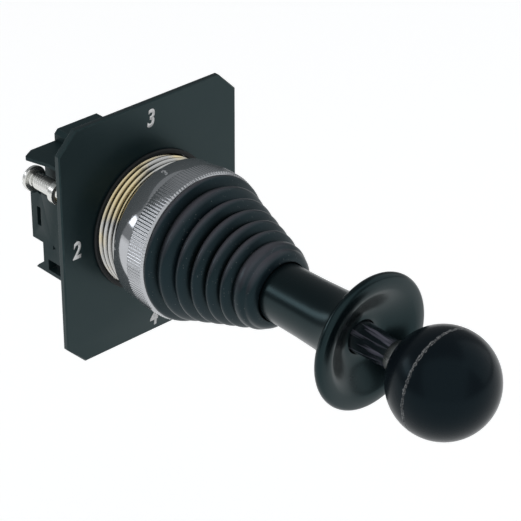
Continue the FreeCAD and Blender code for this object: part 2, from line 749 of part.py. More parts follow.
def side_strips():
    """Fixed contacts of the left module: one up to the upper terminal, one down."""
    x = -PLUNGER_AT
    outer = x - CHAMBER_HALF_X
    inner = x + CHAMBER_HALF_X
    half = STRIP_WIDTH / 2
    foot_back = FIXED_CONTACT_Y + STRIP_T
    upper = box(outer, outer + STRIP_T, NOOK_FRONT, foot_back, -half, half)
    upper_foot = box(outer, outer + STRIP_FOOT, FIXED_CONTACT_Y, foot_back, -half, half)
    riser = box(outer - STRIP_T, outer + STRIP_FOOT, NOOK_FRONT, NOOK_FRONT + STRIP_T,
                -half, SIDE_SCREW_Z + TERMINAL_SHANK_R)
    tail_front = CHAMBER_FRONT + STRIP_INSET
    lower = box(inner - STRIP_T, inner, tail_front, foot_back, -half, half)
    lower_foot = box(inner - STRIP_FOOT, inner, FIXED_CONTACT_Y, foot_back, -half, half)
    tail = box(inner - STRIP_T, inner, tail_front, tail_front + STRIP_WIDTH,
               LOWER_SCREW_Z + STRIP_PAD_HALF, half)
    pad = box(-LOWER_SCREW_X - SMALL_HEAD_R, inner, tail_front, tail_front + STRIP_T,
              LOWER_SCREW_Z - STRIP_PAD_HALF, LOWER_SCREW_Z + STRIP_PAD_HALF)
    return upper.fuse([upper_foot, riser]), lower.fuse([lower_foot, tail, pad])


def side_profile(points, x0, x1):
    """A prism across the module, from (y, z) points of its side view."""
    corners = [V(x0, y, z) for y, z in points]
    return Part.Face(Part.makePolygon(corners + corners[:1])).extrude(V(x1 - x0, 0, 0))


def plan_profile(points, z0, z1):
    """An upright prism from (x, y) points of its plan."""
    corners = [V(x, y, z0) for x, y in points]
    return Part.Face(Part.makePolygon(corners + corners[:1])).extrude(V(0, 0, z1 - z0))


def terminal_nook(outer, roof):
    """The open hollow of the upper terminal, its floor lower under the screw's head."""
    ramp_top, ramp_foot = NOOK_RAMP
    nook = side_profile([
        (NOOK_FRONT, roof),
        (NOOK_FRONT, NOOK_FLOOR),
        (ramp_top, NOOK_FLOOR),
        (ramp_foot, NOOK_FLOOR_BACK),
        (MODULE_BACK + 1, NOOK_FLOOR_BACK),
        (MODULE_BACK + 1, roof),
    ], outer - 1, outer + NOOK_DEPTH_X)
    clamp_back = NOOK_FRONT + STRIP_T + CLAMP_T + SEAT_GAP
    nook = nook.fuse(rod_y(CLAMP_R + SEAT_GAP, NOOK_FRONT, clamp_back, -SIDE_SCREW_X, SIDE_SCREW_Z))
    notch = box(outer - 1, outer + NOTCH_W, ramp_top - NOTCH_W, ramp_top, NOOK_FLOOR - NOTCH_W / 2, roof)
    return nook.fuse(notch)


def side_module():
    """Moulded body of the left contact module."""
    outer = -HOUSING_HALF
    inner = -MODULE_SPLIT - SEAT_GAP / 2
    hook_top = MODULE_BOTTOM + HOOK_T
    body = side_profile([
        (HOUSING_BACK, MODULE_BOTTOM),
        (HOOK_TIP_Y, MODULE_BOTTOM),
        (HOOK_TIP_Y - HOOK_T, hook_top),
        (STEP_BACK, HOOK_TOP),
        (STEP_BACK, STEP_Z),
        (MODULE_BACK, STEP_Z),
        (MODULE_BACK, MODULE_TOP),
        (HOUSING_BACK, MODULE_TOP),
    ], outer, inner)
    roof = MODULE_TOP - WING_T
    body = body.cut(terminal_nook(outer, roof))
    wing = plan_profile([
        (outer + WING_REACH, WING_FRONT),
        (outer, WING_FRONT),
        (outer - WING_REACH, WING_NOSE_Y),
        (outer + REAR_SLOPE_IN, MODULE_BACK),
        (outer + WING_REACH, MODULE_BACK),
    ], roof, MODULE_TOP)
    nose = [e for e in wing.Edges if abs(e.tangentAt(e.FirstParameter).z) > 0.9
            and e.Vertexes[0].Point.x < outer - 1]
    body = body.fuse(wing.makeFillet(WING_NOSE_R, nose))
    body = body.cut(plan_profile([
        (outer + REAR_SLOPE_IN, MODULE_BACK),
        (outer - WING_REACH, WING_NOSE_Y),
        (outer - WING_REACH, MODULE_BACK + 1),
        (outer + REAR_SLOPE_IN, MODULE_BACK + 1),
    ], STEP_Z - 1, MODULE_TOP + 1))
    lower_x = -LOWER_SCREW_X
    reach = SMALL_HEAD_R + 0.5
    strip_front = CHAMBER_FRONT + STRIP_INSET
    body = body.cut(box(lower_x - reach, lower_x + reach, strip_front, MODULE_BACK + 1,
                        hook_top, LOWER_SCREW_Z + reach))
    body = body.cut(box(outer - 1, lower_x, strip_front, LOWER_NOOK_BACK, hook_top, LOWER_NOOK_TOP))
    lip_front = HOUSING_BACK + STRIP_INSET
    body = body.cut(box(outer - 1, outer + LOWER_NOOK_LIP, lip_front, LOWER_NOOK_BACK,
                        hook_top, LOWER_NOOK_TOP))
    y0, y1, z0, z1 = LATCH_SLOT
    body = body.cut(box(outer - 1, outer + 1.4, y0, y1, z0, z1))
    body = body.cut(side_profile([
        (MARK_Y + MARK_SIZE / 2, MARK_Z + MARK_SIZE / 2),
        (MARK_Y + MARK_SIZE / 2, MARK_Z - MARK_SIZE / 2),
        (MARK_Y - MARK_SIZE / 2, MARK_Z),
    ], outer - 1, outer + MARK_DEPTH))
    x = -PLUNGER_AT
    body = body.cut(chamber(x, 0)).cut(plunger_hole(x, 0))
    for strip in side_strips():
        body = body.cut(strip)
    places = [(-SIDE_MODULE_SCREW_X, z) for z in SIDE_MODULE_SCREW_Z]
    return bore_for_screws(body, places).removeSplitter()


def side_terminals():
    """Upper and lower terminal screws of the left module, and the upper clamp."""
    x = -SIDE_SCREW_X
    clamp_front = NOOK_FRONT + STRIP_T
    upper = slotted_screw(TERMINAL_SHANK_R, clamp_front, TERMINAL_HEAD_R, MODULE_BACK - TERMINAL_HEAD_IN,
                          TERMINAL_HEAD_T, x, SIDE_SCREW_Z, TERMINAL_SLOT)
    clamp = rod_y(CLAMP_R, clamp_front, clamp_front + CLAMP_T, x, SIDE_SCREW_Z)
    clamp = clamp.cut(rod_y(TERMINAL_SHANK_R, clamp_front - 1, clamp_front + CLAMP_T + 1, x, SIDE_SCREW_Z))
    seat = CHAMBER_FRONT + STRIP_INSET + STRIP_T
    lower = slotted_screw(SMALL_SHANK_R, seat, SMALL_HEAD_R, seat + SMALL_HEAD_LIFT,
                          SMALL_HEAD_T, -LOWER_SCREW_X, LOWER_SCREW_Z, SMALL_SLOT)
    return upper, clamp, lower


def middle_strips():
    """Fixed contacts of the middle module: two for each of its two plungers."""
    strips = []
    half = STRIP_WIDTH / 2
    foot_back = FIXED_CONTACT_Y + STRIP_T
    front = MIDDLE_NOOK_FRONT - STRIP_T
    for up in (-1, 1):
        z = up * PLUNGER_AT
        pad_end = up * (MIDDLE_SCREW_Z - SMALL_SHANK_R)
        beside = z - up * (BRIDGE_WIDTH / 2 + RUBBER_GAP)
        for side in (-1, 1):
            wall = side * CHAMBER_HALF_X
            thin = wall - side * STRIP_T
            wide = wall - side * STRIP_FOOT
            strip = box(wall, thin, front, foot_back, z - half, z + half)
            foot = box(wall, wide, FIXED_CONTACT_Y, foot_back, z - half, z + half)
            tail = box(wall, thin, front, MIDDLE_NOOK_FRONT, z, pad_end)
            pad = box(wall, wide, front, MIDDLE_NOOK_FRONT, beside, pad_end)
            strips.append(strip.fuse([foot, tail, pad]))
    return strips


def middle_module():
    """Moulded body of the middle module, its cap wide enough to cover both splits."""
    split = MODULE_SPLIT - SEAT_GAP / 2
    cap = split + MIDDLE_CAP_OUT
    half = [
        (split, MIDDLE_BOTTOM),
        (split, MODULE_TOP + SEAT_GAP),
        (cap, MODULE_TOP + SEAT_GAP),
        (cap, MIDDLE_TOP - MIDDLE_CAP_EDGE),
        (cap - MIDDLE_CAP_EDGE, MIDDLE_TOP),
    ]
    outline = half + [(-x, z) for x, z in reversed(half)]
    corners = [V(x, HOUSING_BACK, z) for x, z in outline]
    body = Part.Face(Part.makePolygon(corners + corners[:1])).extrude(V(0, MODULE_BACK - HOUSING_BACK, 0))
    for up in (-1, 1):
        body = body.cut(chamber(0, up * PLUNGER_AT)).cut(plunger_hole(0, up * PLUNGER_AT))
        for side in (-1, 1):
            nook = rod_y(SMALL_HEAD_R + 0.4, MIDDLE_NOOK_FRONT, MODULE_BACK + 1,
                         side * MIDDLE_SCREW_X, up * MIDDLE_SCREW_Z)
            body = body.cut(nook)
    for strip in middle_strips():
        body = body.cut(strip)
    return bore_for_screws(body, [(0.0, z) for z in MIDDLE_MODULE_SCREW_Z])


def middle_terminals():
    screws = []
    for up in (-1, 1):
        for side in (-1, 1):
            screws.append(slotted_screw(
                SMALL_SHANK_R, MIDDLE_NOOK_FRONT, SMALL_HEAD_R, MIDDLE_NOOK_FRONT + SMALL_HEAD_LIFT,
                SMALL_HEAD_T, side * MIDDLE_SCREW_X, up * MIDDLE_SCREW_Z, SMALL_SLOT))
    return screws


def build():
    """Every node by name."""
    upper_strip, lower_strip = side_strips()
    upper_screw, clamp, lower_screw = side_terminals()
    left_module = side_module()
    nodes = {
        "legend_plate": legend_plate(),
        "sealing_ring": sealing_ring(),
        "threaded_collar": threaded_collar(),
        "ring_nut": ring_nut(),
        "gate_plate": gate_plate(),
        "gate_screws": gate_screws(),
        "bellows": bellows(),
        "gimbal_ring": gimbal_ring(),
        "gimbal_pins": gimbal_pins(),
        "lever_hub": lever_hub(),
        "hub_pins": hub_pins(),
        "lever_rod": lever_rod(),
        "actuator_plate": actuator_plate(),
        "tail_nut": tail_nut(),
        "pull_sleeve": pull_sleeve(),
        "sleeve_bush": sleeve_bush(),
        "pull_spring": pull_spring(),
        "spring_stop": spring_stop(),
        "knob_stem": knob_stem(),
        "stem_collar": stem_collar(),
        "knob_rear": knob_rear(),
        "knob_insert": knob_insert(),
        "knob_front": knob_front(),
        "operator_housing": operator_housing(),
        "flange_screws": flange_screws(),
        "module_screws": module_screws(),
        "left_contact_module": left_module,
        "right_contact_module": mirrored(left_module),
        "middle_contact_module": middle_module(),
        "fixed_contacts": group(
            [upper_strip, lower_strip, mirrored(upper_strip), mirrored(lower_strip)] + middle_strips()),
        "terminal_screws": group([upper_screw, mirrored(upper_screw)]),
        "terminal_clamps": group([clamp, mirrored(clamp)]),
        "small_terminal_screws": group([lower_screw, mirrored(lower_screw)] + middle_terminals()),
    }
    for place, (x, z) in PLUNGER_PLACES.items():
        nodes["plunger_" + place] = plunger(x, z)
        nodes["contact_bridge_" + place] = contact_bridge(x, z)
        nodes["plunger_spring_" + place] = plunger_spring(x, z)
    return nodes


os.makedirs("parts", exist_ok=True)
for name, shape in build().items():
    shape.exportStep(os.path.join("parts", name + ".step"))
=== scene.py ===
import json
import math

import bpy
from mathutils import Matrix, Vector


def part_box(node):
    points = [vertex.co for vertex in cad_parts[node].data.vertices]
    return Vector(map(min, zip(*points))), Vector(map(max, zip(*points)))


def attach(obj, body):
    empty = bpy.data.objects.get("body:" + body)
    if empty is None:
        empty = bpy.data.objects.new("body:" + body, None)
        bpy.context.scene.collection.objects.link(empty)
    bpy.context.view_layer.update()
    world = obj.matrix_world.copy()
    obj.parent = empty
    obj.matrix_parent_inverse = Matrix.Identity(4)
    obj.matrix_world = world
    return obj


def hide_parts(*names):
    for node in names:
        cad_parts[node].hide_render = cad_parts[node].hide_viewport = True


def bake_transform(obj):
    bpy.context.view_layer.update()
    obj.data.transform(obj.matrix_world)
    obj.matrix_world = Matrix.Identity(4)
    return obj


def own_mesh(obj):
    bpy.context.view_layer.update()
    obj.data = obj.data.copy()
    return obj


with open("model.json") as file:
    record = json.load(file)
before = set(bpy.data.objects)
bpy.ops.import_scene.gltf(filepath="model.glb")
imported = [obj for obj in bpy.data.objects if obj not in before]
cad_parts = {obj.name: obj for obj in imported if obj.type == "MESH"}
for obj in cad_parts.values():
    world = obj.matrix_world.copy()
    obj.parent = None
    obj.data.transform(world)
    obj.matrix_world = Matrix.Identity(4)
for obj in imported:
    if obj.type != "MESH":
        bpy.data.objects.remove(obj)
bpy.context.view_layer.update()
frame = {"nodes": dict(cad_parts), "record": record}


# Legend plate
# An aluminium sheet with cut corners, black anodised, that lies on the front of the
# panel. Stamped flat, so its edges are only slightly broken.

MM = 0.001


def deselect():
    """Nothing selected and nothing in edit mode, so that an operator acts on one piece."""
    if bpy.context.object and bpy.context.object.mode != "OBJECT":
        bpy.ops.object.mode_set(mode="OBJECT")
    bpy.ops.object.select_all(action="DESELECT")


def pick(piece):
    """Makes one piece the selected and active object."""
    deselect()
    piece.select_set(True)
    bpy.context.view_layer.objects.active = piece


def apply_modifier(piece, kind, **settings):
    """Adds a modifier with its settings and applies it."""
    pick(piece)
    modifier = piece.modifiers.new(kind.lower(), kind)
    for key, value in settings.items():
        setattr(modifier, key, value)
    bpy.ops.object.modifier_apply(modifier=modifier.name)


def softened(node, name, edge, segments=2):
    """A merged copy of a CAD piece with its sharp edges rounded, which stands for the node."""
    piece = bpy.data.objects.new(name, frame["nodes"][node].data.copy())
    bpy.context.scene.collection.objects.link(piece)
    piece.data.materials.clear()
    pick(piece)
    bpy.ops.object.mode_set(mode="EDIT")
    bpy.ops.mesh.select_all(action="SELECT")
    bpy.ops.mesh.remove_doubles(threshold=0.002 * MM)
    bpy.ops.mesh.dissolve_limited(angle_limit=math.radians(0.5))
    bpy.ops.object.mode_set(mode="OBJECT")
    bpy.ops.object.shade_smooth_by_angle(angle=math.radians(38))
    apply_modifier(piece, "BEVEL", width=edge, segments=segments, limit_method="ANGLE",
                   angle_limit=math.radians(38), use_clamp_overlap=True, harden_normals=True)
    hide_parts(node)
    return piece


def new_material(name, colour, roughness, **sockets):
    """A Principled material with plain values; returns the material, its nodes and its shader."""
    material = bpy.data.materials.new(name)
    material.use_nodes = True
    tree = material.node_tree
    shader = tree.nodes["Principled BSDF"]
    shader.inputs["Base Color"].default_value = (*colour, 1)
    shader.inputs["Roughness"].default_value = roughness
    for key, value in sockets.items():
        shader.inputs[key.replace("_", " ").title().replace("Ior", "IOR")].default_value = value
    material.diffuse_color = (*colour, 1)
    return material, tree, shader


def new_group(name, inputs, outputs):
    """An empty shader node group, its inputs floats, or colours where a tuple is given."""
    group = bpy.data.node_groups.new(name, "ShaderNodeTree")
    for label, value in inputs.items():
        kind = "NodeSocketColor" if isinstance(value, tuple) else "NodeSocketFloat"
        socket = group.interface.new_socket(label, in_out="INPUT", socket_type=kind)
        socket.default_value = value
    for label, kind in outputs.items():
        group.interface.new_socket(label, in_out="OUTPUT", socket_type=kind)
    start = group.nodes.new("NodeGroupInput")
    end = group.nodes.new("NodeGroupOutput")
    return group, start, end


def put_group(tree, group, **values):
    """Places a group in a material with its own values."""
    node = tree.nodes.new("ShaderNodeGroup")
    node.node_tree = group
    for key, value in values.items():
        node.inputs[key.replace("_", " ").capitalize()].default_value = value
    return node


def add(tree, kind, links=None, **settings):
    """One node with its settings; links maps its inputs to output sockets or plain values."""
    node = tree.nodes.new(kind)
    for key, value in settings.items():
        setattr(node, key, value)
    for key, value in (links or {}).items():
        if isinstance(value, bpy.types.NodeSocket):
            tree.links.new(value, node.inputs[key])
        else:
            node.inputs[key].default_value = value
    return node


# Fine moulded or blasted grain: a bump height and a slow cloud that shifts the gloss.
GRAIN, start, end = new_group(
    "fine grain", {"Scale": 900.0, "Contrast": 1.0},
    {"Height": "NodeSocketFloat", "Cloud": "NodeSocketFloat"})
place = add(GRAIN, "ShaderNodeTexCoord")
fine = add(GRAIN, "ShaderNodeTexNoise", {
    "Vector": place.outputs["Object"], "Scale": start.outputs["Scale"], "Detail": 3.0,
    "Roughness": 0.6})
broad = add(GRAIN, "ShaderNodeTexNoise", {
    "Vector": place.outputs["Object"], "Scale": 55.0, "Detail": 4.0})
centred = add(GRAIN, "ShaderNodeMath", {0: fine.outputs["Fac"], 1: 0.5}, operation="SUBTRACT")
height = add(GRAIN, "ShaderNodeMath", {0: centred.outputs[0], 1: start.outputs["Contrast"]},
             operation="MULTIPLY")
GRAIN.links.new(height.outputs[0], end.inputs["Height"])
GRAIN.links.new(broad.outputs["Fac"], end.inputs["Cloud"])

# Edges rubbed by handling: a mask along sharp edges, broken up by noise.
WEAR, start, end = new_group(
    "edge wear", {"Width": 0.0004, "Breakup": 260.0}, {"Mask": "NodeSocketFloat"})
place = add(WEAR, "ShaderNodeTexCoord")
geometry = add(WEAR, "ShaderNodeNewGeometry")
rounded = add(WEAR, "ShaderNodeBevel", {"Radius": start.outputs["Width"]}, samples=4)
facing = add(WEAR, "ShaderNodeVectorMath", {
    0: geometry.outputs["Normal"], 1: rounded.outputs["Normal"]}, operation="DOT_PRODUCT")
edge = add(WEAR, "ShaderNodeMapRange", {
    "Value": facing.outputs["Value"], "From Min": 0.998, "From Max": 0.93, "To Min": 0.0,
    "To Max": 1.0})
noise = add(WEAR, "ShaderNodeTexNoise", {
    "Vector": place.outputs["Object"], "Scale": start.outputs["Breakup"], "Detail": 4.0})
broken = add(WEAR, "ShaderNodeMapRange", {
    "Value": noise.outputs["Fac"], "From Min": 0.42, "From Max": 0.62, "To Min": 0.0,
    "To Max": 1.0})
mask = add(WEAR, "ShaderNodeMath", {0: edge.outputs["Result"], 1: broken.outputs["Result"]},
           operation="MULTIPLY")
WEAR.links.new(mask.outputs[0], end.inputs["Mask"])


def grainy(tree, shader, scale, bump, base_roughness, spread, contrast=1.0):
    """Fine grain as bump, and its slow cloud in the roughness."""
    grain = put_group(tree, GRAIN, scale=scale, contrast=contrast)
    gloss = add(tree, "ShaderNodeMapRange", {
        "Value": grain.outputs["Cloud"], "From Min": 0.3, "From Max": 0.7,
        "To Min": base_roughness - spread, "To Max": base_roughness + spread})
    relief = add(tree, "ShaderNodeBump", {
        "Height": grain.outputs["Height"], "Strength": bump, "Distance": 0.0001})
    tree.links.new(gloss.outputs["Result"], shader.inputs["Roughness"])
    tree.links.new(relief.outputs["Normal"], shader.inputs["Normal"])
    return grain


def worn_colour(tree, shader, body_colour, worn, width, breakup, amount):
    """The body colour, with a lighter one where the edges are rubbed."""
    wear = put_group(tree, WEAR, width=width, breakup=breakup)
    less = add(tree, "ShaderNodeMath", {0: wear.outputs["Mask"], 1: amount}, operation="MULTIPLY")
    mix = add(tree, "ShaderNodeMix", {"Factor": less.outputs[0], "B": (*worn, 1)},
              data_type="RGBA")
    if isinstance(body_colour, bpy.types.NodeSocket):
        tree.links.new(body_colour, mix.inputs["A"])
    else:
        mix.inputs["A"].default_value = (*body_colour, 1)
    tree.links.new(mix.outputs["Result"], shader.inputs["Base Color"])
    return mix


def tinted(tree, value, low_colour, high_colour, start=0.3, end=0.7):
    """A colour that goes from one to another as a value goes from start to end."""
    ramp = add(tree, "ShaderNodeValToRGB", {"Fac": value})
    ramp.color_ramp.elements[0].position = start
    ramp.color_ramp.elements[0].color = (*low_colour, 1)
    ramp.color_ramp.elements[1].position = end
    ramp.color_ramp.elements[1].color = (*high_colour, 1)
    return ramp.outputs["Color"]


plate_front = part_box("legend_plate")[0].y
plate = softened("legend_plate", "legend_plate_sheet", 0.12 * MM)
anodised, tree, shader = new_material(
    "black anodised sheet", (0.007, 0.014, 0.016), 0.34, specular_ior_level=0.36,
    specular_tint=(0.62, 0.97, 1.0, 1))
grain = grainy(tree, shader, 1400.0, 0.10, 0.34, 0.04)
body = tinted(tree, grain.outputs["Cloud"], (0.005, 0.012, 0.014), (0.009, 0.017, 0.019))
worn_colour(tree, shader, body, (0.07, 0.085, 0.09), 0.00035, 300.0, 0.5)
plate.data.materials.append(anodised)
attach(plate, "base")


# Numerals
# The four positions, silk-screened in white on the legend plate: slanted figures,
# raised by the thickness of the ink.

NUMERAL_HEIGHT = 5.5 * MM
NUMERAL_WIDTH_SHARE = 0.78
NUMERAL_SLANT = 0.16
NUMERAL_BOLD = 0.032
INK_THICKNESS = 0.03 * MM
NUMERALS = {"1": (27.6, 0.0), "2": (-27.3, 0.3), "3": (0.5, 31.9), "4": (-0.2, -32.6)}


def clouded(tree, shader, grain, low_colour, high_colour):
    """Base colour that drifts between two tints with the slow cloud of the grain."""
    tree.links.new(tinted(tree, grain.outputs["Cloud"], low_colour, high_colour),
                   shader.inputs["Base Color"])


ink, tree, shader = new_material("white ink", (0.86, 0.86, 0.86), 0.55)
grain = grainy(tree, shader, 2600.0, 0.25, 0.55, 0.06)
clouded(tree, shader, grain, (0.82, 0.82, 0.82), (0.90, 0.90, 0.90))

for figure, (x, z) in NUMERALS.items():
    deselect()
    bpy.ops.object.text_add()
    numeral = bpy.context.object
    numeral.name = "numeral_" + figure
    numeral.data.body = figure
    numeral.data.shear = NUMERAL_SLANT
    numeral.data.offset = NUMERAL_BOLD
    numeral.data.resolution_u = 8
    bpy.ops.object.convert(target="MESH")
    numeral = bpy.context.object
    corners = [v.co for v in numeral.data.vertices]
    low = Vector((min(c.x for c in corners), min(c.y for c in corners), 0))
    high = Vector((max(c.x for c in corners), max(c.y for c in corners), 0))
    size = NUMERAL_HEIGHT / (high.y - low.y)
    middle = (low + high) / 2
    upright = Matrix(((1, 0, 0, 0), (0, 0, -1, 0), (0, 1, 0, 0), (0, 0, 0, 1)))
    shape = Matrix.Diagonal((size * NUMERAL_WIDTH_SHARE, size, size, 1))
    fit = shape @ Matrix.Translation(-middle)
    spot = Matrix.Translation((x * MM, plate_front - INK_THICKNESS, z * MM))
    numeral.data.transform(spot @ upright @ fit)
    pick(numeral)
    bpy.ops.object.mode_set(mode="EDIT")
    bpy.ops.mesh.select_all(action="SELECT")
    bpy.ops.mesh.remove_doubles(threshold=0.005 * MM)
    bpy.ops.mesh.extrude_region_move(
        TRANSFORM_OT_translate={"value": (0, INK_THICKNESS * 1.5, 0)})
    bpy.ops.mesh.select_all(action="SELECT")
    bpy.ops.mesh.normals_make_consistent(inside=False)
    bpy.ops.object.mode_set(mode="OBJECT")
    numeral.data.materials.append(ink)
    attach(numeral, "base")


# Sealing ring
# A flat rubber ring with a rounded outer edge, between the legend plate and the
# nut. It is moulded, and squeezed a little against the plate.

def arc(centre, radius, start_angle, end_angle, count):
    """Points of an arc in the (radius, y) half plane; angles in degrees from outward to +Y."""
    points = []
    for i in range(count + 1):
        angle = math.radians(start_angle + (end_angle - start_angle) * i / count)
        points.append((centre[0] + radius * math.cos(angle), centre[1] + radius * math.sin(angle)))
    return points


def turned(name, outline, steps=160, smooth=32):
    """A piece turned about the lever axis from a closed outline of (radius, y) in millimetres."""
    deselect()
    bpy.ops.mesh.primitive_circle_add(vertices=len(outline), radius=10 * MM)
    piece = bpy.context.object
    piece.name = name
    for vertex, (radius, y) in zip(piece.data.vertices, outline):
        vertex.co = (radius * MM, y * MM, 0)
    bpy.ops.object.mode_set(mode="EDIT")
    bpy.ops.mesh.select_all(action="SELECT")
    bpy.ops.mesh.spin(steps=steps, angle=math.tau, center=(0, 0, 0), axis=(0, 1, 0))
    bpy.ops.mesh.select_all(action="SELECT")
    bpy.ops.mesh.remove_doubles(threshold=0.002 * MM)
    bpy.ops.mesh.normals_make_consistent(inside=False)
    bpy.ops.object.mode_set(mode="OBJECT")
    bpy.ops.object.shade_smooth_by_angle(angle=math.radians(smooth))
    return piece


def in_mm(node):
    """A CAD node's outer radius, back and front along the lever, in millimetres."""
    low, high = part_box(node)
    return high.x / MM, high.y / MM, low.y / MM


COLLAR_R = 20.0

seal_r, seal_back, seal_front = in_mm("sealing_ring")
bulge = (seal_back - seal_front) / 2
seal = turned("sealing_ring_moulded", [
    (COLLAR_R + 0.1, seal_back - 0.02),
    *arc((seal_r - bulge, seal_back - bulge), bulge * 0.98, 90, -90, 8),
    (COLLAR_R + 0.25, seal_front),
    (COLLAR_R + 0.1, seal_front + 0.15),
])
seal_rubber, tree, shader = new_material(
    "seal rubber", (0.008, 0.010, 0.011), 0.55, specular_ior_level=0.3)
grainy(tree, shader, 1800.0, 0.3, 0.55, 0.08)
seal.data.materials.append(seal_rubber)
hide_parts("sealing_ring")
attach(seal, "base")


# Threaded collar
# The brass body that goes through the panel hole, chromed all over: a coarse thread
# outside, a smooth bore, and a square flange that bears on the back of the panel.

COLLAR_BORE_R = 16.6
FLANGE_CORNER_R = 4.0
THREAD_PITCH = 2.0
THREAD_DEPTH = 1.15
THREAD_CREST = 0.35
THREAD_TURNS = 11


def select_edges(piece, wanted):
    """Selects the edges of a piece whose two end points pass a test, and leaves it in edit mode."""
    pick(piece)
    bpy.ops.object.mode_set(mode="EDIT")
    bpy.ops.mesh.select_mode(type="EDGE")
    bpy.ops.mesh.select_all(action="DESELECT")
    bpy.ops.object.mode_set(mode="OBJECT")
    points = piece.data.vertices
    for edge in piece.data.edges:
        edge.select = wanted(*(points[i].co for i in edge.vertices))
    bpy.ops.object.mode_set(mode="EDIT")


def block(centre_y, width, length, height):
    """A cuboid centred on the lever axis at a place along it; lengths in millimetres."""
    deselect()
    bpy.ops.mesh.primitive_cube_add(size=1)
    piece = bpy.context.object
    piece.data.transform(Matrix.Translation((0, centre_y * MM, 0))
                         @ Matrix.Diagonal((width * MM, length * MM, height * MM, 1)))
    return piece


def cut(piece, cutter):
    """Takes the cutter's shape out of a piece and removes the cutter."""
    apply_modifier(piece, "BOOLEAN", operation="DIFFERENCE", object=cutter, solver="EXACT")
    bpy.data.objects.remove(cutter)


def break_edges(piece, width, angle):
    """Rounds the edges that turn by more than an angle; the width is in millimetres."""
    apply_modifier(piece, "BEVEL", width=width * MM, segments=2, limit_method="ANGLE",
                   angle_limit=math.radians(angle))


def close_ends():
    """In object mode: fills the open ends of the active piece and turns its faces outward."""
    bpy.ops.object.mode_set(mode="EDIT")
    bpy.ops.mesh.select_all(action="DESELECT")
    bpy.ops.mesh.select_non_manifold()
    bpy.ops.mesh.edge_face_add()
    bpy.ops.mesh.select_all(action="SELECT")
    bpy.ops.mesh.normals_make_consistent(inside=False)
    bpy.ops.object.mode_set(mode="OBJECT")


def helical_ridge(root_r, crest_r, root_half, crest_half, first, pitch, turns, steps, edge):
    """The ridge of a thread about the Y axis, its ends closed; lengths in millimetres."""
    deselect()
    bpy.ops.mesh.primitive_circle_add(vertices=6, radius=10 * MM)
    ridge = bpy.context.object
    outline = [
        (root_r - 0.1, root_half),
        (root_r + 0.02, root_half),
        (crest_r, crest_half),
        (crest_r, -crest_half),
        (root_r + 0.02, -root_half),
        (root_r - 0.1, -root_half),
    ]
    for vertex, (radius, y) in zip(ridge.data.vertices, outline):
        vertex.co = (radius * MM, (first + y) * MM, 0)
    apply_modifier(ridge, "SCREW", axis="Y", screw_offset=pitch * MM, iterations=turns - 1,
                   steps=steps, render_steps=steps, use_merge_vertices=False)
    close_ends()
    break_edges(ridge, edge, 30)
    return ridge


# Painted shade in grooves: an ambient-occlusion mask that is 1 deep in a groove and 0 on open
# faces.
CREVICE, start, end = new_group(
    "painted groove shade", {"Reach": 0.001, "Open": 0.85, "Closed": 0.35}, {"Mask": "NodeSocketFloat"})
hollow = add(CREVICE, "ShaderNodeAmbientOcclusion", {"Distance": start.outputs["Reach"]},
             samples=6, only_local=True)
mask = add(CREVICE, "ShaderNodeMapRange", {
    "Value": hollow.outputs["AO"], "From Min": start.outputs["Open"],
    "From Max": start.outputs["Closed"], "To Min": 0.0, "To Max": 1.0})
CREVICE.links.new(mask.outputs["Result"], end.inputs["Mask"])


def shade_grooves(tree, shader, colour, groove_shade_colour, reach, closed=0.35):
    """Sends a colour to the shader, darkened towards a given colour where the surface lies in a
    groove, as painted shade.
    """
    crevice = put_group(tree, CREVICE, reach=reach, closed=closed)
    mix = add(tree, "ShaderNodeMix", {
        "Factor": crevice.outputs["Mask"], "A": colour, "B": (*groove_shade_colour, 1)}, data_type="RGBA")
    tree.links.new(mix.outputs["Result"], shader.inputs["Base Color"])


flange_half, flange_back, collar_front = in_mm("threaded_collar")
core_r = COLLAR_R - THREAD_DEPTH
core = turned("threaded_collar_chromed", [
    (COLLAR_BORE_R, 0.0),
    (core_r, 0.0),
    (core_r, collar_front + 0.6),
    (core_r - 0.6, collar_front),
    (COLLAR_BORE_R + 0.3, collar_front),
    (COLLAR_BORE_R, collar_front + 0.3),
])

ridge = helical_ridge(core_r, COLLAR_R - 0.06, THREAD_PITCH / 2 - 0.08, THREAD_CREST / 2,
                      collar_front + 1.1, THREAD_PITCH, THREAD_TURNS, 120, 0.09)

flange = block(flange_back / 2, 2 * flange_half, flange_back, 2 * flange_half)
select_edges(flange, lambda a, b: abs(a.y - b.y) > flange_back / 2 * MM)
bpy.ops.mesh.bevel(offset=FLANGE_CORNER_R * MM, segments=8, affect="EDGES")
bpy.ops.object.mode_set(mode="OBJECT")
deselect()
bpy.ops.mesh.primitive_cylinder_add(vertices=160, radius=COLLAR_BORE_R * MM, depth=20 * MM,
                                    rotation=(math.pi / 2, 0, 0))
cut(flange, bpy.context.object)
break_edges(flange, 0.25, 40)

pick(core)
ridge.select_set(True)
flange.select_set(True)
bpy.ops.object.join()
collar = core
bpy.ops.object.shade_smooth_by_angle(angle=math.radians(32))

rubbed, tree, shader = new_material(
    "chrome rubbed through to brass with painted warm reflection", (0.52, 0.52, 0.51), 0.16, metallic=1.0)
grainy(tree, shader, 900.0, 0.10, 0.18, 0.05)
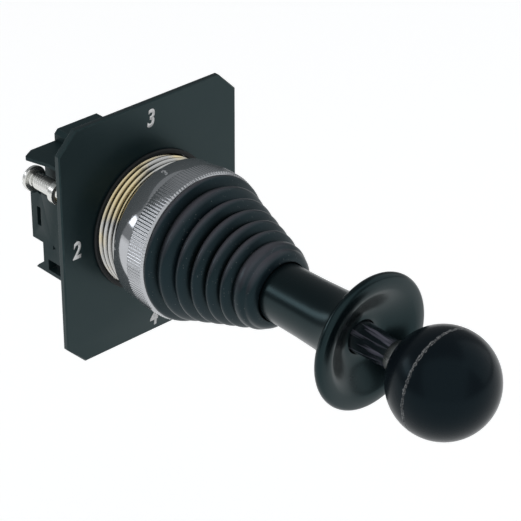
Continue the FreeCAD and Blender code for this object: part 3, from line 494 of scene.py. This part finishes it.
# Gold towards the upper left: brass where the chrome is worn through, and partly a painted warm
# reflection placed on that side.
place = add(tree, "ShaderNodeTexCoord")
patches = add(tree, "ShaderNodeTexNoise", {
    "Vector": place.outputs["Object"], "Scale": 60.0, "Detail": 3.0})
upper_left_side = add(tree, "ShaderNodeVectorMath", {0: place.outputs["Object"], 1: (-9.0, 0.0, 12.0)},
              operation="DOT_PRODUCT")
spread = add(tree, "ShaderNodeMath", {0: upper_left_side.outputs["Value"], 1: patches.outputs["Fac"]},
             operation="ADD")
brass_and_warm_reflection = tinted(tree, spread.outputs[0], (0.52, 0.52, 0.51), (0.80, 0.68, 0.42), 0.62, 0.74)
crests = worn_colour(tree, shader, brass_and_warm_reflection, (0.85, 0.70, 0.42), 0.0004, 60.0, 0.75)
# Painted shade: the roots of the thread are darkened by the groove mask.
shade_grooves(tree, shader, crests.outputs["Result"], (0.05, 0.045, 0.04), 0.0014, 0.45)
collar.data.materials.append(rubbed)
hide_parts("threaded_collar")
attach(collar, "base")


# Ring nut
# Turned from brass and chromed: a plain polished band at the back and a wider head
# with a fine straight knurl, rolled in before plating, with a chamfer in front.

KNURL_TEETH = 144
KNURL_DEPTH = 0.30

NUT_HEAD_R = 22.4
NUT_BAND_R = 21.8
NUT_BAND_LENGTH = 6.2

nut_back, nut_front = in_mm("ring_nut")[1:]
nut_step = nut_back - NUT_BAND_LENGTH
nut_bore = COLLAR_R + 0.05
nut = turned("ring_nut_knurled", [
    (nut_bore, nut_back),
    (NUT_BAND_R - 0.4, nut_back),
    *arc((NUT_BAND_R - 0.4, nut_back - 0.4), 0.4, 90, 0, 4),
    (NUT_BAND_R, nut_step + 0.25),
    *arc((NUT_BAND_R - 0.25, nut_step + 0.25), 0.25, 0, -60, 3),
    (NUT_HEAD_R - 0.75, nut_step),
    (NUT_HEAD_R - 0.35, nut_step - 0.02),
    (NUT_HEAD_R, nut_step - 0.38),
    (NUT_HEAD_R, nut_front + 0.75),
    (NUT_HEAD_R - 0.5, nut_front + 0.12),
    (NUT_HEAD_R - 0.75, nut_front),
    (nut_bore, nut_front),
], steps=KNURL_TEETH * 4, smooth=24)
for vertex in nut.data.vertices:
    x, y, z = vertex.co
    radius = math.hypot(x, z)
    if y < (nut_step - 0.01) * MM and radius > (NUT_HEAD_R - 0.4) * MM:
        turn = math.atan2(z, x) * KNURL_TEETH / math.tau
        groove = abs((turn % 1.0) - 0.5) * 2
        vertex.co.x *= 1 - KNURL_DEPTH * MM * (1 - groove) / radius
        vertex.co.z *= 1 - KNURL_DEPTH * MM * (1 - groove) / radius
nut.data.update()

chrome, tree, shader = new_material("bright chrome", (0.54, 0.55, 0.56), 0.08, metallic=0.80)
grainy(tree, shader, 700.0, 0.03, 0.10, 0.03)
# Painted shade: the gaps between the knurl teeth are darkened by the groove mask.
shade_grooves(tree, shader, (0.50, 0.51, 0.53, 1), (0.07, 0.07, 0.07), 0.0006, 0.50)
nut.data.materials.append(chrome)
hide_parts("ring_nut")
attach(nut, "base")


# Bellows
# A moulded rubber boot from the nut to the pull ring, black, with dust specks. Its
# upper-left faces are paler, from dust lying there and a painted highlight on the crests, and
# its grooves carry painted shade. It is two pieces that meet in the second groove and stay
# where they are built, though the lever tilts about two crossed axes.

# Places along the lever with their radii: grooves and ridges by turns, from the nut on.
FOLDS = [
    (-26.3, 18.9), (-28.8, 20.0), (-31.5, 16.7), (-33.8, 18.4), (-36.1, 15.2), (-38.4, 16.9),
    (-40.7, 13.9), (-42.8, 15.5), (-45.0, 12.8), (-47.0, 14.2), (-49.0, 11.8),
]
FOLD_FULLNESS = 0.9
BELLOWS_WALL = 1.1
SEAM_FOLD = 2
SEAM_LAP = 0.4


def fold_line(points, steps=14):
    """(radius, y) points from groove to ridge to groove, out of (y, radius) extremes."""
    line = []
    for i in range(len(points) - 1):
        (y0, r0), (y1, r1) = points[i], points[i + 1]
        rising = i % 2 == 0
        for k in range(steps):
            t = k / steps
            if rising:
                share = math.sin(t * math.pi / 2) ** FOLD_FULLNESS
            else:
                share = 1 - math.sin((1 - t) * math.pi / 2) ** FOLD_FULLNESS
            line.append((r0 + (r1 - r0) * share, y0 + (y1 - y0) * t))
    line.append((points[-1][1], points[-1][0]))
    return line


# Dust: round specks, one to a cell, in a share of the cells only.
DUST, start, end = new_group(
    "dust specks", {"Scale": 1500.0, "Amount": 0.35}, {"Mask": "NodeSocketFloat"})
place = add(DUST, "ShaderNodeTexCoord")
cells = add(DUST, "ShaderNodeTexVoronoi", {
    "Vector": place.outputs["Object"], "Scale": start.outputs["Scale"], "Randomness": 1.0})
speck = add(DUST, "ShaderNodeMapRange", {
    "Value": cells.outputs["Distance"], "From Min": 0.32, "From Max": 0.12, "To Min": 0.0,
    "To Max": 1.0})
choice = add(DUST, "ShaderNodeSeparateColor", {"Color": cells.outputs["Color"]})
kept = add(DUST, "ShaderNodeMath", {0: choice.outputs["Red"], 1: start.outputs["Amount"]},
           operation="LESS_THAN")
mask = add(DUST, "ShaderNodeMath", {0: speck.outputs["Result"], 1: kept.outputs[0]},
           operation="MULTIPLY")
DUST.links.new(mask.outputs[0], end.inputs["Mask"])

skirt = [
    (19.8, -23.9),
    (21.3, -23.9),
    (21.75, -24.1),
    (21.9, -24.45),
    (21.75, -24.95),
    (21.2, -25.35),
    (20.2, -25.75),
]
seam_y, seam_r = FOLDS[SEAM_FOLD]
lower = turned("bellows_lower", [
    *skirt,
    *fold_line(FOLDS[:SEAM_FOLD + 1]),
    (seam_r - BELLOWS_WALL, seam_y),
    (16.6, -26.0),
    (19.8, -25.2),
], steps=160, smooth=60)
lip = [
    (12.25, -49.7),
    (12.6, -50.4),
    (12.7, -51.4),
    (12.6, -52.3),
    (12.2, -53.1),
    (11.75, -53.45),
    (11.6, -53.8),
    (11.55, -54.3),
    (11.2, -55.0),
    (10.6, -55.6),
    (9.8, -56.0),
    (9.1, -56.15),
    (8.85, -56.1),
]
upper = turned("bellows_upper", [
    (seam_r - BELLOWS_WALL, seam_y + SEAM_LAP),
    (seam_r - 0.25, seam_y + SEAM_LAP),
    *fold_line(FOLDS[SEAM_FOLD:]),
    *lip,
    (8.8, -50.3),
    (10.6, -49.0),
    (13.9, -37.8),
    (15.9, -33.8),
], steps=160, smooth=60)

rubber, tree, shader = new_material(
    "moulded bellows rubber", (0.008, 0.011, 0.014), 0.32, specular_ior_level=0.30,
    specular_tint=(0.52, 0.88, 1.0, 1))
grain = grainy(tree, shader, 1300.0, 0.22, 0.33, 0.05)
dust = put_group(tree, DUST, scale=1900.0, amount=0.09)
body = tinted(tree, grain.outputs["Cloud"], (0.003, 0.006, 0.008), (0.006, 0.011, 0.015))
faded = add(tree, "ShaderNodeMath", {0: dust.outputs["Mask"], 1: 0.5}, operation="MULTIPLY")
dusty = add(tree, "ShaderNodeMix", {
    "Factor": faded.outputs[0], "A": body, "B": (0.20, 0.21, 0.21, 1)}, data_type="RGBA")
# Paler upper-left faces: dust lying there, and a painted highlight along the crests.
place = add(tree, "ShaderNodeTexCoord")
facing = add(tree, "ShaderNodeVectorMath", {0: place.outputs["Normal"], 1: (-0.38, 0.05, 0.92)},
             operation="DOT_PRODUCT")
dust_and_crest_highlight = add(tree, "ShaderNodeMapRange", {
    "Value": facing.outputs["Value"], "From Min": 0.52, "From Max": 0.95, "To Min": 0.0,
    "To Max": 0.95})
pale = add(tree, "ShaderNodeMix", {
    "Factor": dust_and_crest_highlight.outputs["Result"], "A": dusty.outputs["Result"],
    "B": (0.076, 0.072, 0.084, 1)}, data_type="RGBA")
# Painted shade: the grooves between the folds are darkened by the groove mask.
shade_grooves(tree, shader, pale.outputs["Result"], (0.002, 0.003, 0.003), 0.0045, 0.45)
for piece in (lower, upper):
    piece.data.materials.append(rubber)
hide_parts("bellows")
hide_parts("bellows")
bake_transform(lower)
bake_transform(upper)


# Pull ring
# A sleeve that ends in a dished disc, turned from black plastic and polished. Two
# fingers behind the disc pull it towards the ball to free the lever.

sleeve_back = in_mm("pull_sleeve")[1]
handle = turned("pull_ring_polished", [
    (6.2, sleeve_back),
    (7.0, sleeve_back),
    (8.1, sleeve_back - 1.6),
    (8.5, sleeve_back - 3.2),
    (8.5, -61.0),
    (8.65, -67.8),
    (8.95, -74.9),
    (9.15, -77.5),
    (9.45, -80.0),
    (9.95, -82.2),
    (10.75, -84.1),
    (11.9, -85.6),
    (13.3, -86.65),
    (14.9, -87.4),
    (16.6, -87.85),
    *arc((18.15, -89.45), 1.45, 75, -80, 10),
    (17.4, -91.1),
    (15.8, -91.15),
    (15.1, -90.95),
    (13.8, -90.3),
    (12.2, -89.3),
    (10.6, -88.2),
    (9.0, -87.2),
    (7.6, -86.5),
    (6.4, -86.2),
    (5.5, -86.15),
    (5.0, -86.3),
    (5.0, -76.0),
    (6.2, -76.0),
], steps=192, smooth=38)
polished, tree, shader = new_material(
    "polished black plastic", (0.002, 0.004, 0.005), 0.22, specular_ior_level=0.36,
    specular_tint=(0.55, 0.93, 1.0, 1))
grainy(tree, shader, 500.0, 0.02, 0.24, 0.05)
worn_colour(tree, shader, (0.002, 0.004, 0.005), (0.04, 0.05, 0.055), 0.0005, 340.0, 0.3)
handle.data.materials.append(polished)
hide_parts("pull_sleeve")
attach(handle, "pull_ring")


# Knob stem and its bright collar
# A steel tube on the lever, black enamelled, that tapers towards the ball, with lighter lengthways
# streaks painted in its colour as highlights, and a small turned ring that the ball is screwed
# against.

ROD_THREAD_R = 2.5
RING_SET_BACK = 1.2

stem_back, stem_front = in_mm("knob_stem")[1:]
ring_back = stem_front + RING_SET_BACK
stem = turned("knob_stem_enamelled", [
    (ROD_THREAD_R, stem_back),
    (4.7, stem_back),
    (4.7, -84.0),
    (4.6, -86.5),
    (4.36, -90.0),
    (4.1, -94.0),
    (3.97, ring_back + 0.15),
    (3.8, ring_back),
    (ROD_THREAD_R, ring_back),
], steps=96)
enamel, tree, shader = new_material(
    "black enamel", (0.012, 0.018, 0.022), 0.15, specular_ior_level=0.8, coat_weight=1.0,
    coat_roughness=0.06)
grainy(tree, shader, 400.0, 0.03, 0.17, 0.04)
# Lighter lengthways streaks in the enamel colour: painted highlight streaks, laid out like rub
# marks.
place = add(tree, "ShaderNodeTexCoord")
along = add(tree, "ShaderNodeVectorMath", {0: place.outputs["Object"], 1: (1.0, 0.05, 1.0)},
            operation="MULTIPLY")
streaks = add(tree, "ShaderNodeTexNoise", {
    "Vector": along.outputs["Vector"], "Scale": 900.0, "Detail": 2.0})
painted_highlight_streaks = tinted(tree, streaks.outputs["Fac"], (0.012, 0.018, 0.022), (0.15, 0.15, 0.19),
                   0.54, 0.68)
tree.links.new(painted_highlight_streaks, shader.inputs["Base Color"])
stem.data.materials.append(enamel)
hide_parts("knob_stem")
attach(stem, "lever")

ring_r, _, ring_front = in_mm("stem_collar")
neck_ring = turned("stem_collar_turned", [
    (ROD_THREAD_R, ring_back),
    (ring_r - 0.45, ring_back),
    *arc((ring_r - 0.3, ring_back - 0.3), 0.3, 90, 0, 4),
    (ring_r, ring_front + 0.7),
    (ring_r - 0.25, ring_front + 0.55),
    (ring_r - 0.25, ring_front),
    (ROD_THREAD_R, ring_front),
], steps=96)
bright, tree, shader = new_material("turned bright steel", (0.70, 0.70, 0.69), 0.14, metallic=1.0)
grainy(tree, shader, 1500.0, 0.06, 0.24, 0.06)
neck_ring.data.materials.append(bright)
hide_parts("stem_collar")
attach(neck_ring, "lever")


# Ball knob
# Two moulded halves of polished black thermoset joined at the equator, where the
# flash was filed off and left a rough bright line.

BALL_R = 15.0
BALL_Y = -115.7
BALL_FLAT_R = 4.5
INSERT_R = 4.4
INSERT_COVER = 2.5
SEAM_HALF = 0.05
SEAM_EDGE = 0.22
ball_back = in_mm("knob_rear")[1]
rear_start = math.degrees(math.asin((ball_back - BALL_Y) / BALL_R))
seam_angle = math.degrees(SEAM_EDGE / BALL_R)

rear = turned("knob_rear_polished", [
    (ROD_THREAD_R, ball_back),
    (BALL_FLAT_R, ball_back),
    *arc((0, BALL_Y), BALL_R, rear_start, seam_angle, 40),
    (BALL_R - 0.2, BALL_Y + SEAM_HALF),
    (INSERT_R, BALL_Y + SEAM_HALF),
    (INSERT_R, ball_back - INSERT_COVER),
    (ROD_THREAD_R, ball_back - INSERT_COVER),
], steps=192)
front = turned("knob_front_polished", [
    (0, BALL_Y - SEAM_HALF),
    (BALL_R - 0.2, BALL_Y - SEAM_HALF),
    *arc((0, BALL_Y), BALL_R, -seam_angle, -90, 48),
], steps=192)
ball, tree, shader = new_material(
    "polished black thermoset", (0.006, 0.009, 0.012), 0.22, specular_ior_level=0.11,
    specular_tint=(0.50, 0.86, 1.0, 1))
grainy(tree, shader, 260.0, 0.02, 0.24, 0.05)
place = add(tree, "ShaderNodeTexCoord")
axes = add(tree, "ShaderNodeSeparateXYZ", {"Vector": place.outputs["Object"]})
offset = add(tree, "ShaderNodeMath", {0: axes.outputs["Y"], 1: -BALL_Y * MM}, operation="ADD")
distance = add(tree, "ShaderNodeMath", {0: offset.outputs[0]}, operation="ABSOLUTE")
ragged = add(tree, "ShaderNodeTexNoise", {
    "Vector": place.outputs["Object"], "Scale": 900.0, "Detail": 3.0})
uneven = add(tree, "ShaderNodeMath", {0: ragged.outputs["Fac"], 1: 0.0011, 2: distance.outputs[0]},
             operation="MULTIPLY_ADD")
near_seam = add(tree, "ShaderNodeMapRange", {
    "Value": uneven.outputs[0], "From Min": 0.00105, "From Max": 0.00085, "To Min": 0.0,
    "To Max": 1.0})
grit = add(tree, "ShaderNodeTexNoise", {
    "Vector": place.outputs["Object"], "Scale": 2600.0, "Detail": 2.0})
filed = tinted(tree, grit.outputs["Fac"], (0.06, 0.065, 0.07), (0.28, 0.28, 0.28), 0.42, 0.62)
colour = add(tree, "ShaderNodeMix", {
    "Factor": near_seam.outputs["Result"], "A": (0.006, 0.009, 0.012, 1), "B": filed},
    data_type="RGBA")
tree.links.new(colour.outputs["Result"], shader.inputs["Base Color"])
for piece, node in ((rear, "knob_rear"), (front, "knob_front")):
    piece.data.materials.append(ball)
    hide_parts(node)
    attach(piece, "lever")


# Contact modules and operator housing
# Moulded in dark thermoset: a square housing behind the flange, and three contact
# modules side by side on it. Slightly rough, with softened edges.

moulded, tree, shader = new_material(
    "dark moulded thermoset", (0.016, 0.026, 0.028), 0.42, specular_ior_level=0.16,
    specular_tint=(0.55, 0.96, 1.0, 1))
grain = grainy(tree, shader, 1100.0, 0.3, 0.43, 0.07)
body = tinted(tree, grain.outputs["Cloud"], (0.010, 0.021, 0.023), (0.016, 0.030, 0.033))
worn_colour(tree, shader, body, (0.12, 0.14, 0.15), 0.00035, 380.0, 0.45)
for node in ("left_contact_module", "right_contact_module", "middle_contact_module"):
    module = softened(node, node + "_moulded", 0.18 * MM)
    module.data.materials.append(moulded)
    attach(module, "base")

black_moulded, tree, shader = new_material(
    "black moulded housing", (0.010, 0.013, 0.015), 0.45, specular_ior_level=0.3)
grainy(tree, shader, 1000.0, 0.35, 0.46, 0.06)
worn_colour(tree, shader, (0.012, 0.015, 0.017), (0.08, 0.09, 0.10), 0.0004, 350.0, 0.4)
housing = softened("operator_housing", "operator_housing_moulded", 0.25 * MM)
housing.data.materials.append(black_moulded)
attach(housing, "base")


# Terminal screws and clamps
# Nickel-plated steel: a domed head with a driving slot, a shank with a coarse thread,
# and a round clamp washer that presses the wire against the strip.

nickel, tree, shader = new_material("nickel plate", (0.74, 0.74, 0.72), 0.24, metallic=0.9)
grain = grainy(tree, shader, 1300.0, 0.15, 0.26, 0.08)
clouded(tree, shader, grain, (0.66, 0.66, 0.63), (0.82, 0.82, 0.80))
for node in ("small_terminal_screws", "terminal_clamps", "module_screws"):
    screws = softened(node, node + "_nickel", 0.08 * MM)
    screws.data.materials.append(nickel)
    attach(screws, "base")

SCREW_HEAD_R = 3.9
SCREW_HEAD_T = 2.2
SCREW_CORE_R = 2.05
SCREW_CREST_R = 2.47
SCREW_PITCH = 0.9
SCREW_TURNS = 12
SCREW_SLOT = 0.9
SCREW_HEAD_SEAT = 28.9

low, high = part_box("terminal_screws")
tip = low.y / MM
screw_x = high.x / MM - SCREW_HEAD_R
screw_z = (low.z + high.z) / 2 / MM
dome_angles = [math.radians(a) for a in range(0, 91, 10)]
dome = [(SCREW_HEAD_R * math.cos(a), SCREW_HEAD_SEAT + 1.1 + (SCREW_HEAD_T - 1.12) * math.sin(a))
        for a in dome_angles]
screw = turned("terminal_screw_left", [
    (0, tip),
    (SCREW_CORE_R - 0.4, tip),
    (SCREW_CORE_R, tip + 0.4),
    (SCREW_CORE_R, SCREW_HEAD_SEAT - 0.3),
    (SCREW_CORE_R + 0.3, SCREW_HEAD_SEAT),
    (SCREW_HEAD_R - 0.3, SCREW_HEAD_SEAT),
    (SCREW_HEAD_R, SCREW_HEAD_SEAT + 0.3),
    *dome,
], steps=96)
cut(screw, block(SCREW_HEAD_SEAT + SCREW_HEAD_T, 12, 2.4, SCREW_SLOT))
break_edges(screw, 0.07, 35)
ridge = helical_ridge(SCREW_CORE_R, SCREW_CREST_R, SCREW_PITCH / 2 - 0.04, 0.08, tip + 0.6,
                      SCREW_PITCH, SCREW_TURNS, 32, 0.03)
pick(screw)
ridge.select_set(True)
bpy.ops.object.join()
bpy.ops.object.shade_smooth_by_angle(angle=math.radians(35))
screw.data.transform(Matrix.Translation((-screw_x * MM, 0, screw_z * MM)))
other = bpy.data.objects.new("terminal_screw_right", screw.data.copy())
bpy.context.scene.collection.objects.link(other)
other.data.transform(Matrix.Translation((2 * screw_x * MM, 0, 0)))
for piece in (screw, other):
    piece.data.materials.clear()
    piece.data.materials.append(nickel)
    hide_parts("terminal_screws")
    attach(piece, "base")


# Lever mechanism
# The parts inside: zinc-plated plates, gimbal, pins and screws, a turned steel rod, a
# brass bush, insert and contacts, springs of drawn wire and plungers of white plastic.

zinc, tree, shader = new_material("zinc plate", (0.50, 0.51, 0.51), 0.35, metallic=1.0)
grain = grainy(tree, shader, 900.0, 0.2, 0.36, 0.09)
clouded(tree, shader, grain, (0.44, 0.45, 0.45), (0.58, 0.59, 0.58))
brass, tree, shader = new_material("turned brass", (0.66, 0.50, 0.24), 0.28, metallic=1.0)
grain = grainy(tree, shader, 1200.0, 0.12, 0.30, 0.07)
clouded(tree, shader, grain, (0.58, 0.43, 0.20), (0.70, 0.54, 0.28))
wire, tree, shader = new_material("drawn spring wire", (0.40, 0.40, 0.40), 0.3, metallic=1.0)
grainy(tree, shader, 1600.0, 0.2, 0.31, 0.06)
white_moulded, tree, shader = new_material("white moulded plastic", (0.70, 0.69, 0.64), 0.4)
grain = grainy(tree, shader, 1000.0, 0.2, 0.41, 0.06)
clouded(tree, shader, grain, (0.66, 0.65, 0.60), (0.74, 0.73, 0.69))


def coil_spring(name, node, wire_thickness, turns):
    """A round-wire spring in the place of a CAD spring that lies along Y, and its box."""
    low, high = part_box(node)
    middle = (low + high) / 2
    thickness = wire_thickness * MM
    radius = (high.x - low.x - thickness) / 2
    deselect()
    bpy.ops.mesh.primitive_circle_add(vertices=12, radius=thickness / 2)
    spring = bpy.context.object
    spring.name = name
    spring.data.transform(Matrix.Translation((radius, 0, 0)))
    length = high.y - low.y - thickness
    apply_modifier(spring, "SCREW", axis="Y", screw_offset=length / turns, iterations=turns,
                   steps=28, render_steps=28, use_merge_vertices=False)
    close_ends()
    mean = sum((v.co for v in spring.data.vertices), Vector()) / len(spring.data.vertices)
    spring.data.transform(Matrix.Translation((middle.x, middle.y - mean.y, middle.z)))
    pick(spring)
    bpy.ops.object.shade_smooth_by_angle(angle=math.radians(40))
    spring.data.materials.append(wire)
    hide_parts(node)
    return spring, low, high


for side in ("left", "right", "top", "bottom"):
    spring, low, high = coil_spring(f"contact_spring_{side}", f"plunger_spring_{side}", 0.5, 5)
    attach(spring, "base")
    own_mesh(spring)
spring, low, high = coil_spring("pull_ring_spring", "pull_spring", 0.8, 7)
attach(spring, "lever")
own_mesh(spring)

finishes = {"zinc_steel": zinc, "bright_steel": bright, "bush_brass": brass, "contact_brass": brass,
            "plunger_plastic": white_moulded}
slots = {part["node"]: part["material_slot"] for part in frame["record"]["subparts"]}
for node, cad_piece in frame["nodes"].items():
    if not cad_piece.hide_render:
        cad_piece.data.materials.clear()
        cad_piece.data.materials.append(finishes[slots[node]])


# Studio
# A pale floor, a pale surround and soft lamps, with the camera at the point that the
# photo was taken from. None of it is part of the joystick.

# The camera's place in millimetres, its three axes, and its lens as solved in pixels.
EYE = (-357.47, -435.43, 317.28)
BACK = (-0.58356, -0.63354, 0.50802)
RIGHT = (0.73652, -0.67641, 0.00249)
UP = (0.34205, 0.37562, 0.86134)
FOCAL_PIXELS = 2266.8
IMAGE_PIXELS = 521
SENSOR = 36.0
FLOOR_Z = -0.16

deselect()
bpy.ops.object.camera_add()
camera = bpy.context.object
camera.name = "camera"
camera.data.sensor_width = SENSOR
camera.data.lens = FOCAL_PIXELS / IMAGE_PIXELS * SENSOR
camera.data.clip_start = 0.01
camera.data.clip_end = 50
camera.matrix_world = Matrix((
    (RIGHT[0], UP[0], BACK[0], EYE[0] * MM),
    (RIGHT[1], UP[1], BACK[1], EYE[1] * MM),
    (RIGHT[2], UP[2], BACK[2], EYE[2] * MM),
    (0, 0, 0, 1),
))
bpy.context.scene.camera = camera
bpy.context.scene.view_settings.view_transform = "Standard"

bpy.ops.mesh.primitive_circle_add(vertices=96, radius=6, fill_type="NGON",
                                  location=(0, 0, FLOOR_Z))
floor = bpy.context.object
floor.name = "floor"
paper, tree, shader = new_material("floor paper", (0.72, 0.72, 0.72), 0.9, specular_ior_level=0.0)
rays = add(tree, "ShaderNodeLightPath")
mirrored = add(tree, "ShaderNodeMath", {
    0: rays.outputs["Is Camera Ray"], 1: rays.outputs["Is Glossy Ray"]}, operation="ADD")
seen = add(tree, "ShaderNodeMath", {0: mirrored.outputs[0], 1: rays.outputs["Is Transmission Ray"]},
           operation="ADD", use_clamp=True)
glow = add(tree, "ShaderNodeEmission", {"Color": (1, 1, 1, 1), "Strength": 0.615})
lit = add(tree, "ShaderNodeAddShader", {0: shader.outputs[0], 1: glow.outputs[0]})
mix = add(tree, "ShaderNodeMixShader", {
    0: seen.outputs[0], 1: shader.outputs[0], 2: lit.outputs[0]})
tree.links.new(mix.outputs[0], tree.nodes["Material Output"].inputs["Surface"])
floor.data.materials.append(paper)

world = bpy.data.worlds.new("studio")
bpy.context.scene.world = world
world.use_nodes = True
tree = world.node_tree
tree.nodes.clear()
rays = add(tree, "ShaderNodeLightPath")
camera_white = add(tree, "ShaderNodeBackground", {"Color": (1, 1, 1, 1), "Strength": 1.0})
room = add(tree, "ShaderNodeBackground", {"Color": (0.92, 0.97, 1.0, 1), "Strength": 0.25})
seen = add(tree, "ShaderNodeMath", {
    0: rays.outputs["Is Camera Ray"], 1: rays.outputs["Is Transmission Ray"]},
    operation="ADD", use_clamp=True)
mix = add(tree, "ShaderNodeMixShader", {
    0: seen.outputs[0], 1: room.outputs[0], 2: camera_white.outputs[0]})
add(tree, "ShaderNodeOutputWorld", {"Surface": mix.outputs[0]})


def lamp(name, place, target, size, power, colour=(1, 1, 1)):
    """A soft rectangular lamp that faces a point and isn't seen itself."""
    deselect()
    bpy.ops.object.light_add(type="AREA", location=place)
    light = bpy.context.object
    light.name = name
    light.data.shape = "RECTANGLE"
    light.data.size, light.data.size_y = size
    light.data.energy = power
    light.data.color = colour
    light.visible_camera = False
    direction = Vector(target) - Vector(place)
    light.rotation_euler = direction.to_track_quat("-Z", "Y").to_euler()


AIM = (0, -0.05, 0)
lamp("key", (-0.9, -1.0, 1.1), AIM, (3.4, 3.0), 20.0)
lamp("fill", (1.5, -0.8, 1.0), AIM, (2.2, 2.0), 9.0)
lamp("window", (-0.95, 1.2, 0.6), AIM, (1.0, 0.35), 3.0, (0.94, 0.96, 1.0))
